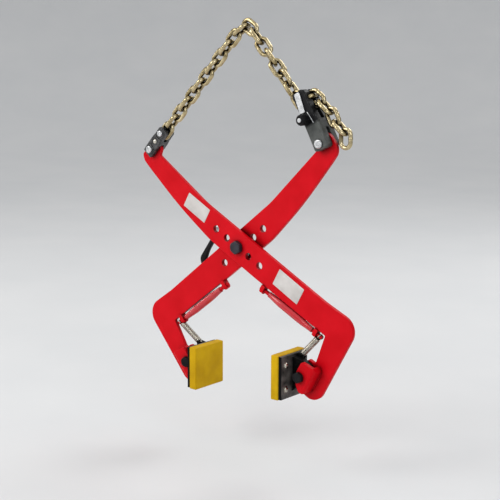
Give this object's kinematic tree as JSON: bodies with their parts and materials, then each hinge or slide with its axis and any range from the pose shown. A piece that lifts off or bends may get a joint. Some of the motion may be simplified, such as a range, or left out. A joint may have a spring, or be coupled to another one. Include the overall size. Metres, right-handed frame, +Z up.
{
  "type": "stone_lifting_clamp",
  "caption": "Scissor stone lifting clamp on a chain sling, red plate arms, sprung yellow jaw pads, chain shortener and open-hold hook",
  "frame": {"origin": "seat under the two saddle links, where the clamp hangs", "axes": "+X across the jaw gap towards the front arm's jaw, +Y away from the viewer, +Z up"},
  "size_m": [0.5059, 0.1, 0.7113],
  "materials": {
    "red_paint": "gloss signal red",
    "black_steel": "satin black",
    "bright_zinc": "bright zinc plated",
    "chain_zinc": "yellow zinc plated",
    "yellow_pad": "yellow polyurethane",
    "red_plastic": "gloss red sleeve",
    "grey_forging": "dark grey forging"
  },
  "bodies": {
    "hang_links": {"saddle_links": "chain_zinc"},
    "left_leg": {"left_chain": "chain_zinc", "left_clevis": "black_steel", "left_chain_pin": "bright_zinc", "left_arm_pin": "bright_zinc"},
    "front_arm_body": {"front_arm": "red_paint", "front_fork_cheek": "red_paint", "front_jaw_bolt": "black_steel", "front_jaw_nut": "black_steel", "front_sleeve_lugs": "red_paint", "front_sleeve_rod": "red_paint", "front_spring_top": "bright_zinc", "front_jaw_spring": "bright_zinc", "pivot_bolt": "black_steel", "pivot_nut": "black_steel", "pivot_washer": "black_steel", "pivot_spacer": "bright_zinc", "hook_stud": "bright_zinc", "hook_peg": "bright_zinc"},
    "rear_arm_body": {"rear_arm": "red_paint", "rear_fork_cheek": "red_paint", "rear_jaw_bolt": "black_steel", "rear_jaw_nut": "black_steel", "rear_sleeve_lugs": "red_paint", "rear_sleeve_rod": "red_paint", "rear_spring_top": "bright_zinc", "rear_jaw_spring": "bright_zinc", "catch_pin": "bright_zinc"},
    "right_leg": {"right_chain": "chain_zinc", "shortener_body": "grey_forging", "shortener_plate": "bright_zinc", "right_arm_pin": "bright_zinc", "spare_chain": "chain_zinc"},
    "tail_end": {"spare_chain_end": "chain_zinc"},
    "lock": {"locking_pin": "bright_zinc", "locking_knob": "black_steel"},
    "front_jaw": {"front_jaw_bracket": "black_steel", "front_pad": "yellow_pad", "front_spring_foot": "bright_zinc"},
    "rear_jaw": {"rear_jaw_bracket": "black_steel", "rear_pad": "yellow_pad", "rear_spring_foot": "bright_zinc"},
    "front_grip": {"front_sleeve": "red_plastic"},
    "rear_grip": {"rear_sleeve": "red_plastic"},
    "open_hold": {"hold_hook": "black_steel"}
  },
  "joints": [
    {"name": "left_leg_swing", "type": "hinge", "parent": "hang_links", "child": "left_leg", "pos_m": [-0.02019, 0, -0.00345], "axis": [0, 1, 0], "range_deg": [-0.2, 4.42]},
    {"name": "front_arm_swing", "type": "hinge", "parent": "left_leg", "child": "front_arm_body", "pos_m": [-0.22053, -0.009, -0.22478], "axis": [0, 1, 0], "range_deg": [-10.53, 0.2]},
    {"name": "scissor", "type": "hinge", "parent": "front_arm_body", "child": "rear_arm_body", "pos_m": [-0.00484, 0, -0.39465], "axis": [0, 1, 0], "range_deg": [0, 12]},
    {"name": "right_leg_swing", "type": "hinge", "parent": "rear_arm_body", "child": "right_leg", "pos_m": [0.17807, 0.009, -0.18991], "axis": [0, 1, 0], "range_deg": [-12.62, 0.2]},
    {"name": "tail_swing", "type": "hinge", "parent": "right_leg", "child": "tail_end", "pos_m": [0.22179, 0.009, -0.1718], "axis": [0, 1, 0], "range_deg": [-15, 9]},
    {"name": "lock_pull", "type": "slide", "parent": "right_leg", "child": "lock", "axis": [0, -1, 0], "range_m": [0, 0.009], "stiffness_N_per_m": 400, "springref_m": -0.004},
    {"name": "front_jaw_tilt", "type": "hinge", "parent": "front_arm_body", "child": "front_jaw", "pos_m": [0.15941, -0.02, -0.61089], "axis": [0, 1, 0], "range_deg": [-12, 12], "stiffness_Nm_per_rad": 3, "deforming": ["front_jaw_spring"]},
    {"name": "rear_jaw_tilt", "type": "hinge", "parent": "rear_arm_body", "child": "rear_jaw", "pos_m": [-0.12905, -0.002, -0.63613], "axis": [0, 1, 0], "range_deg": [-12, 12], "stiffness_Nm_per_rad": 3, "deforming": ["rear_jaw_spring"]},
    {"name": "front_grip_turn", "type": "hinge", "parent": "front_arm_body", "child": "front_grip", "pos_m": [0.06954, -0.009, -0.47498], "axis": [0.8874, 0, -0.461], "continuous": true},
    {"name": "rear_grip_turn", "type": "hinge", "parent": "rear_arm_body", "child": "rear_grip", "pos_m": [-0.06414, 0.009, -0.48667], "axis": [-0.7939, 0, -0.6081], "continuous": true},
    {"name": "open_hold_swing", "type": "hinge", "parent": "front_arm_body", "child": "open_hold", "pos_m": [-0.07626, 0.015, -0.36878], "axis": [0, 1, 0], "range_deg": [0, 55]}
  ],
  "couplings": [
    {"joint": "left_leg_swing", "follows": "scissor", "ratio": 0.352},
    {"joint": "front_arm_swing", "follows": "scissor", "ratio": -0.861},
    {"joint": "right_leg_swing", "follows": "scissor", "ratio": -1.035}
  ]
}
